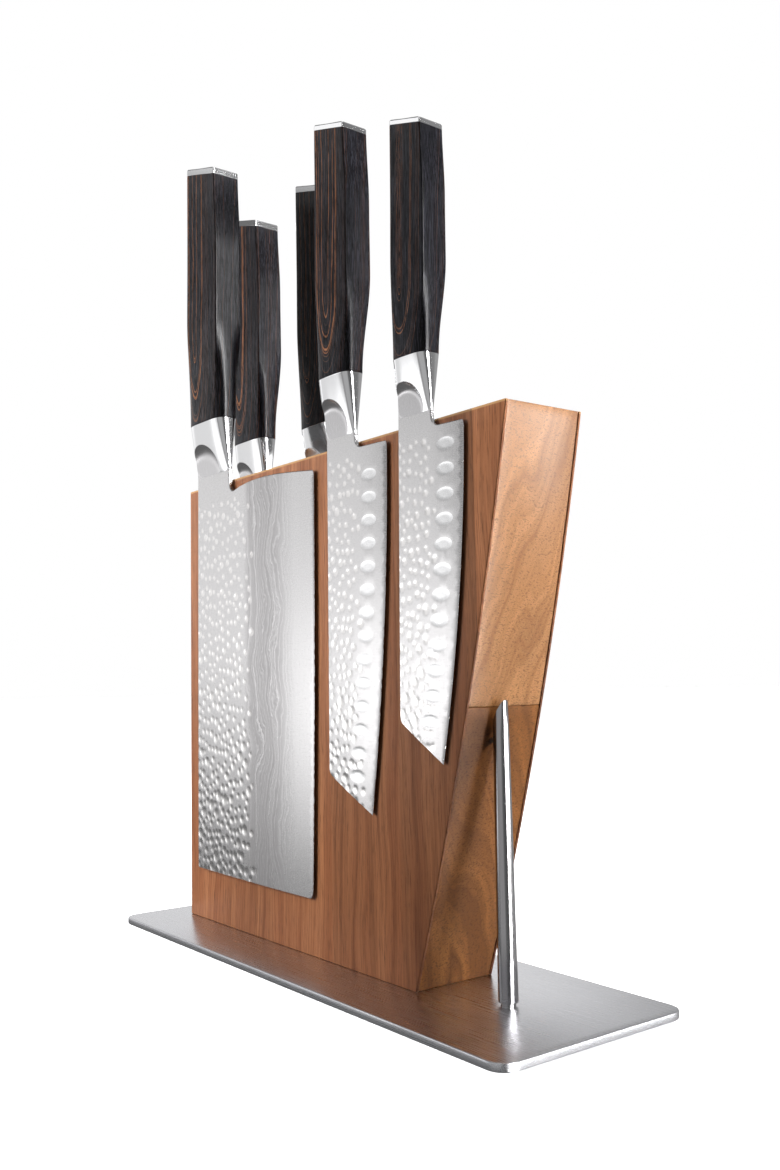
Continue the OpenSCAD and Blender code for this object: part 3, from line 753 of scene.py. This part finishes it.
def blade(k):
    """Thin ground blade with rounded spine, keen edge, hammer marks and oval hollows."""
    path = resample(blade_outline(k), 0.7)
    on_edge = (np.abs(path[:, 0] - k.edge_x(path[:, 1])) < 0.35) & (path[:, 1] < -1.8)
    wide = np.where(on_edge, 0.8, 0.3)
    inner = inward(path)
    keen = 0.05
    rings = [path, path + inner * (wide * 0.4)[:, None], path + inner * wide[:, None]]
    guard = path + inner * (wide + 0.35)[:, None]
    reach, _, large = k.hammered
    low, high = path.min(0), path.max(0)
    fine = hex_grid((low[0], low[1]), (reach + 4, 0), 0.62)
    fine = fine[fine[:, 0] < reach * 1.06 + 1.5]
    coarse = hex_grid(low, high, 2.6)
    coarse = coarse[(coarse[:, 0] > reach * 1.06 + 3) | (coarse[:, 1] > 1)]
    grid = np.concatenate([fine, coarse])
    grid = grid[inside(grid, guard)]
    loops = []
    turn = np.linspace(0, 2 * math.pi, 44, endpoint=False)
    painted_top_highlight = np.stack([np.cos(turn) * HOLLOW[0], np.sin(turn) * HOLLOW[1]], 1)
    for centre in hollow_places(k):
        grid = grid[from_hollow(grid[:, 0], grid[:, 1], centre) > 1.25]
        loops.append(painted_top_highlight + centre)
        for share, skip in ((0.9, 1), (0.7, 2), (0.45, 2), (0.2, 2)):
            grid = np.concatenate([grid, painted_top_highlight[::skip] * share + centre])
    count = len(path)
    flat = np.concatenate([*rings, *loops, grid])
    edges = [(r * count + i, r * count + (i + 1) % count) for r in (1, 2) for i in range(count)]
    start = 3 * count
    for loop in loops:
        edges += [(start + i, start + (i + 1) % len(loop)) for i in range(len(loop))]
        start += len(loop)
    drop = np.zeros(len(flat))
    drop[:count] = 1.0
    drop[count : 2 * count] = 0.6
    made = delaunay_2d_cdt([Vector(p) for p in flat], edges, [list(range(count))], 1, 1e-5, True)
    spots = np.array([tuple(p) for p in made[0]])
    source = [ids[0] if ids else -1 for ids in made[3]]
    drop = np.array([drop[i] if i >= 0 else 0.0 for i in source])
    keen_rim = np.array([on_edge[i % count] if 0 <= i < 2 * count else False for i in source])
    x, z = spots[:, 0], spots[:, 1]
    back_of_edge = np.clip((k.edge_x(z) - x) / (k.width * 0.5), 0, 1)
    spine_half, edge_half, least_half = k.thick / 2, 0.2, 0.12
    ground_half = edge_half + (spine_half - edge_half) * (1 - (1 - back_of_edge) ** 2)
    half = np.where((z < 0) | (x > k.neck), ground_half, spine_half)
    hammer = np.zeros(len(spots))
    dent = np.zeros(len(spots))
    for mx, mz, a, b, turn, depth in dimples(k):
        near = np.nonzero((np.abs(x - mx) < 5) & (np.abs(z - mz) < 5))[0]
        u = (x[near] - mx) * math.cos(turn) + (z[near] - mz) * math.sin(turn)
        v = (z[near] - mz) * math.cos(turn) - (x[near] - mx) * math.sin(turn)
        bowl = 1 - (u / a) ** 2 - (v / b) ** 2
        dent[near] = np.maximum(dent[near], depth * np.clip(bowl, 0, 1))
        hammer[near] = np.maximum(hammer[near], np.clip(bowl * 3, 0, 1))
    ground = np.zeros(len(spots))
    for centre in hollow_places(k):
        bowl = 1 - from_hollow(x, z, centre)
        dent = np.maximum(dent, HOLLOW_DEPTH * smooth(bowl * 1.8))
        ground = np.maximum(ground, (bowl > 0.02) * 1.0)
    half = np.maximum(half - dent, least_half)
    half = np.where(keen_rim, half - (half - keen) * drop, half - 0.3 * drop)
    total = len(spots)
    front = np.stack([x, -half, z], 1)
    rear = np.stack([x, half, z], 1)
    triangles = np.array([tuple(f) for f in made[2]])
    triangles = triangles[inside(spots[triangles].mean(1), path)]
    faces = [tuple(f) for f in triangles.tolist()]
    faces += [tuple(i + total for i in reversed(f)) for f in faces]
    where = {s: i for i, s in enumerate(source) if s >= 0}
    painted_top_highlight = [where[i] for i in range(count)]
    for a, b in zip(painted_top_highlight, painted_top_highlight[1:] + painted_top_highlight[:1]):
        faces.append((a, a + total, b + total, b))
    first, last = (reach * 0.9, k.width * 0.86) if k.name == "cleaver" else (k.width, k.width + 10)
    finish = blade_steel(f"blade_steel_{k.name}", first, last)
    make_piece(f"{k.name}_blade_steel", np.concatenate([front, rear]), faces, finish, f"{k.name}_knife",
               [f"{k.name}_blade"], "blade_steel", 24, k.place,
               hammer=np.tile(hammer, 2), ground=np.tile(ground, 2))


def superellipse(angles, half_w, half_t, power):
    """Distance from the centre to a rounded-box section at each angle."""
    c, s = np.abs(np.cos(angles)), np.abs(np.sin(angles))
    return ((c / half_w) ** power + (s / half_t) ** power) ** (-1 / power)


def section_angles(half_w, half_t, power, count):
    """Angles that space points evenly round a section."""
    dense = np.linspace(0, 2 * math.pi, 4000)
    r = superellipse(dense, half_w, half_t, power)
    walk = np.hypot(np.diff(r * np.cos(dense)), np.diff(r * np.sin(dense)))
    total = np.concatenate([[0], np.cumsum(walk)])
    return np.interp(np.linspace(0, total[-1], count, endpoint=False), total, dense)


SECTION_POWER = 3.8


def bolster(k):
    """Polished bolster: oval under the grip, thinning into the neck, with a satin scoop."""
    count, levels = 200, 110
    foot, top = k.bolster_foot, k.bolster_top
    angles = section_angles(k.bolster_w / 2, k.bolster_t / 2, SECTION_POWER, count)
    rings, satin = [], []
    half_blade = k.thick / 2
    right_top = k.bolster_left + k.bolster_w
    heights = top - (top - foot) * np.linspace(0, 1, levels)
    for z in heights:
        u = (z - foot) / (top - foot)
        left = k.bolster_left * (1 - (1 - u) ** 2)
        right = k.neck + (right_top - k.neck) * (1 - (1 - u) ** 2.4)
        half_t = half_blade + 0.15 + (k.bolster_t / 2 - half_blade - 0.15) * u**0.9
        half_w, mid = (right - left) / 2, (right + left) / 2
        r = superellipse(angles, half_w, half_t, SECTION_POWER)
        x, y = mid + r * np.cos(angles), r * np.sin(angles)
        from_scoop = np.hypot(x - k.scoop_x, max(0.0, z - k.scoop_z))
        wall = np.clip((from_scoop - k.scoop_r * 0.62) / (k.scoop_r * 0.38), 0, None)
        floor = half_blade + 0.04 + (k.bolster_t / 2 - half_blade) * wall**2.2
        cut = np.abs(y) > floor
        y = np.where(cut, np.sign(y) * floor, y)
        rings.append(np.stack([x, y, np.full(count, z)], 1))
        satin.append(cut * 1.0)
    ease = 0.18
    lip = rings[0].copy()
    centre = np.array([k.bolster_mid, 0, top])
    away = lip - centre
    lip = centre + away * (1 - ease / np.linalg.norm(away, axis=1, keepdims=True))
    rings[0][:, 2] -= ease
    rings.insert(0, lip)
    satin.insert(0, satin[0])
    points, faces = loft(rings[::-1])
    make_piece(f"{k.name}_bolster_steel", points, faces, bolster_finish, f"{k.name}_knife",
               [f"{k.name}_bolster"], "bolster_steel", 28, k.place, satin=np.concatenate(satin[::-1]))


def grip_outline(k):
    """Grip cross-section round its middle: wide chamfers at the spine, crisp belly ridges."""
    w, t = k.grip_w, k.grip_t
    wide_x, wide_y, thin = w * 0.09, t * 0.14, 0.4
    corners = [(w / 2, -t / 2 + thin), (w / 2, t / 2 - thin), (w / 2 - thin, t / 2)]
    corners += [(wide_x - w / 2, t / 2), (-w / 2, t / 2 - wide_y), (-w / 2, wide_y - t / 2)]
    corners += [(wide_x - w / 2, -t / 2), (w / 2 - thin, -t / 2)]
    return resample(rounded(corners, [0.5, 0.5, 0.5, 1.6, 1.6, 1.6, 1.6, 0.5], 4), 0.55)


# Slope of the grip's butt, in degrees
BUTT_SLOPE = 17.5


def smooth(t):
    """Soft step from 0 to 1."""
    t = np.clip(t, 0, 1)
    return t * t * (3 - 2 * t)


def grip_ring(k, outline, share, raise_by=0.0, inset=0.0):
    """One ring of the grip at a share of its length, sheared to the sloped butt."""
    angles = np.arctan2(outline[:, 1], outline[:, 0])
    square = np.hypot(outline[:, 0], outline[:, 1])
    oval = superellipse(angles, k.bolster_w / 2, k.bolster_t / 2, SECTION_POWER)
    blend = smooth(share / 0.42)
    swell = math.sin(math.pi * min(1.0, share / 0.62)) * 0.01
    r = (oval + (square - oval) * blend) * (1 + swell) - inset
    mid = k.bolster_mid + (k.grip_x + k.grip_w / 2 - k.bolster_mid) * smooth(share / 0.4)
    x, y = mid + r * np.cos(angles), r * np.sin(angles)
    belly = k.grip_x + k.grip_w
    draw = k.grip_w * 0.065 * smooth((share - 0.7) / 0.32)
    x = x - draw * np.clip((x - k.grip_x) / k.grip_w, 0, 1)
    slope = math.tan(math.radians(BUTT_SLOPE))
    z = k.bolster_top + share * (k.grip_len + (belly - x) * slope) + raise_by
    return np.stack([x, y, z], 1)


def grip(k):
    """Wooden grip: oval at the bolster, turning square with a sharp belly ridge."""
    outline = grip_outline(k)
    shares = np.concatenate([[0.0, 0.0015], np.linspace(0.01, 0.99, 72), [0.9985, 1.0]])
    insets = np.zeros(len(shares))
    insets[[0, -1]] = 0.15
    rings = [grip_ring(k, outline, share, 0.0, inset) for share, inset in zip(shares, insets)]
    points, faces = loft(rings)
    seed = np.full(len(points), float(k.seed))
    rise = (points[:, 2] - k.bolster_top) / k.grip_len
    make_piece(f"{k.name}_grip_wood", points, faces, grip_finish, f"{k.name}_knife",
               [f"{k.name}_handle"], "grip_wood", 22, k.place, seed=seed, rise=rise)


def cap(k):
    """Polished end cap on the sloped butt, with bright chamfers and a faint dome."""
    outline = grip_outline(k)
    thick, chamfer = k.grip_w * 0.1, 0.5
    profile = [(0.02, 0.12), (0.12, 0.0), (thick - chamfer, 0.0), (thick, chamfer)]
    rings = [grip_ring(k, outline, 1.0, rise, inset) for rise, inset in profile]
    centre = rings[-1].mean(0)
    for share, rise in ((0.7, 0.12), (0.35, 0.2), (0.02, 0.22)):
        rings.append(centre + (rings[3] - centre) * share + (0, 0, rise))
    points, faces = loft(rings)
    make_piece(f"{k.name}_cap_steel", points, faces, cap_finish, f"{k.name}_knife",
               [f"{k.name}_cap"], "cap_steel", 22, k.place)


for knife in KNIVES:
    blade(knife)
    bolster(knife)
    grip(knife)
    cap(knife)

# ---------------------------------------------------------------- camera, light and floor


def aim(obj, spot, target):
    """Puts obj at a spot with its -Z axis towards the target."""
    obj.location = spot
    obj.rotation_mode = "QUATERNION"
    obj.rotation_quaternion = (Vector(target) - Vector(spot)).to_track_quat("-Z", "Y")


def camera():
    """Low viewpoint off the post's end, looking a little upwards."""
    data = bpy.data.cameras.new("camera")
    cam = bpy.data.objects.new("camera", data)
    bpy.context.scene.collection.objects.link(cam)
    ahead = Vector((-0.79568, 0.59927, 0.08819))
    up = Vector((0.08121, -0.03875, 0.99594))
    side = ahead.cross(up).normalized()
    up = side.cross(ahead).normalized()
    cam.matrix_world = Matrix.Translation((0.38612, -0.27449, 0.12161)) @ Matrix(
        (side, up, -ahead)
    ).transposed().to_4x4()
    data.sensor_width = 36.0
    data.lens = 34.016
    data.shift_x = 0.0083
    data.shift_y = -0.01045
    data.clip_start = 0.01
    bpy.context.scene.camera = cam


def softbox(name, spot, target, size, glow):
    """A rectangular studio light that shades the matt surfaces; the world holds what the metal
    mirrors. glow is its brightness, where white paper in full light is 1."""
    data = bpy.data.lights.new(name, "AREA")
    data.shape = "RECTANGLE"
    data.size, data.size_y = size
    data.energy = glow * math.pi * size[0] * size[1]
    light = bpy.data.objects.new(name, data)
    light.visible_camera = False
    light.visible_glossy = False
    bpy.context.scene.collection.objects.link(light)
    aim(light, spot, target)


class World:
    """Studio as seen by each kind of ray: a white backdrop for the eye, an even fill for matt
    surfaces, and for reflections a room of soft panels given by compass angle and height."""

    def __init__(self, fill, seen, room):
        world = bpy.data.worlds.new("studio")
        bpy.context.scene.world = world
        world.use_nodes = True
        self.nodes, self.links = world.node_tree.nodes, world.node_tree.links
        background = self.nodes["Background"]
        background.inputs["Color"].default_value = (1, 1, 1, 1)
        way = self.nodes.new("ShaderNodeTexCoord").outputs["Generated"]
        split = self.nodes.new("ShaderNodeSeparateXYZ")
        self.links.new(way, split.inputs[0])
        x, y, z = split.outputs
        turn = self.math("ARCTAN2", y, x)
        self.compass = self.math("MULTIPLY", turn, 180 / math.pi)
        self.height = self.math("MULTIPLY", self.math("ARCSINE", z), 180 / math.pi)
        path = self.nodes.new("ShaderNodeLightPath")
        strength = self.blend(path.outputs["Is Camera Ray"], fill, seen)
        strength = self.blend(path.outputs["Is Glossy Ray"], strength, self.room(*room))
        self.links.new(strength, background.inputs["Strength"])

    def put(self, socket, value):
        if isinstance(value, (int, float)):
            socket.default_value = value
        else:
            self.links.new(value, socket)

    def math(self, operation, *values):
        made = self.nodes.new("ShaderNodeMath")
        made.operation = operation
        for socket, value in zip(made.inputs, values):
            self.put(socket, value)
        return made.outputs[0]

    def blend(self, share, a, b):
        made = self.nodes.new("ShaderNodeMix")
        for socket, value in zip(made.inputs[:4], (share, None, a, b)):
            if value is not None:
                self.put(socket, value)
        return made.outputs[0]

    def step(self, value, start, end):
        made = self.nodes.new("ShaderNodeMapRange")
        made.interpolation_type = "SMOOTHSTEP"
        self.put(made.inputs["Value"], value)
        self.put(made.inputs["From Min"], start)
        self.put(made.inputs["From Max"], end)
        return made.outputs[0]

    def room(self, gloom, panels):
        """Sum of soft panels: (middle angle, half width, its softness, low, high, softness,
        brightness), all in degrees, angle counted from +X towards +Y."""
        total = gloom
        for middle, half, soft, low, high, fade, glow in panels:
            turned = self.math("SUBTRACT", self.compass, middle)
            away = self.math("ABSOLUTE", self.math("WRAP", turned, 180.0, -180.0))
            part = self.step(away, half + soft, half - soft)
            part = self.math("MULTIPLY", part, self.step(self.height, low - fade, low + fade))
            part = self.math("MULTIPLY", part, self.step(self.height, high + fade, high - fade))
            total = self.math("ADD", total, self.math("MULTIPLY", part, glow))
        return total


def pale_floor():
    """Round pale floor under the feet. The room in World stands in for it in reflections."""
    mesh = bpy.data.meshes.new("floor")
    turn = np.linspace(0, 2 * math.pi, 64, endpoint=False)
    mesh.from_pydata([(6 * math.cos(a), 6 * math.sin(a), 0) for a in turn], [], [tuple(range(64))])
    floor = bpy.data.objects.new("floor", mesh)
    floor.visible_glossy = False
    floor.visible_diffuse = False
    bpy.context.scene.collection.objects.link(floor)
    paint = Shader("floor_paint", Roughness=0.9, Specular_IOR_Level=0.1)
    grain = paint.noise(paint.space(), 0.01, 2.0)
    paint.put(paint.bsdf, "Base Color", paint.ramp(grain, [(0.3, 0.93), (0.7, 0.95)]))
    paint.bsdf.inputs["Emission Color"].default_value = (1, 1, 1, 1)
    paint.bsdf.inputs["Emission Strength"].default_value = 0.95
    mesh.materials.append(paint.material)


def studio():
    """Soft panels for reflections, by compass angle and height as World.room reads them: behind
    on the left (four), a bright strip past the post's end, its low sheen, a dim one in front, a
    dim wall and the ceiling. The softboxes light the matt surfaces."""
    panels = [
        (163, 34, 6, 2, 24, 6, 0.95),
        (211, 18, 8, -5, 17, 6, 0.86),
        (228, 12, 4, -8, 2, 3, 1.8),
        (212, 25, 8, 25, 34, 2, 1.15),
        (14, 9, 4, -40, 12, 6, 27.0),
        (10, 14, 5, 15, 21, 4, 75.0),
        (43, 13, 6, -6, 3, 4, 10.0),
        (278, 34, 14, -20, 45, 12, 0.38),
        (85, 45, 12, -90, 60, 15, 0.3),
        (0, 181, 1, 64, 91, 10, 0.8),
    ]
    World(0.05, 1.0, (0.17, panels))
    pale_floor()
    softbox("left_panel", (-0.72, -0.62, 0.34), (0, 0, 0.12), (0.5, 0.6), 16.5)
    softbox("right_panel", (0.35, 0.44, 0.36), (0.1, 0, 0.17), (0.14, 0.2), 82.0)
    softbox("top_panel", (0.2, -0.1, 1.3), (0, 0, 0.1), (0.9, 0.7), 2.5)


camera()
studio()
bpy.context.scene.view_settings.view_transform = "Standard"
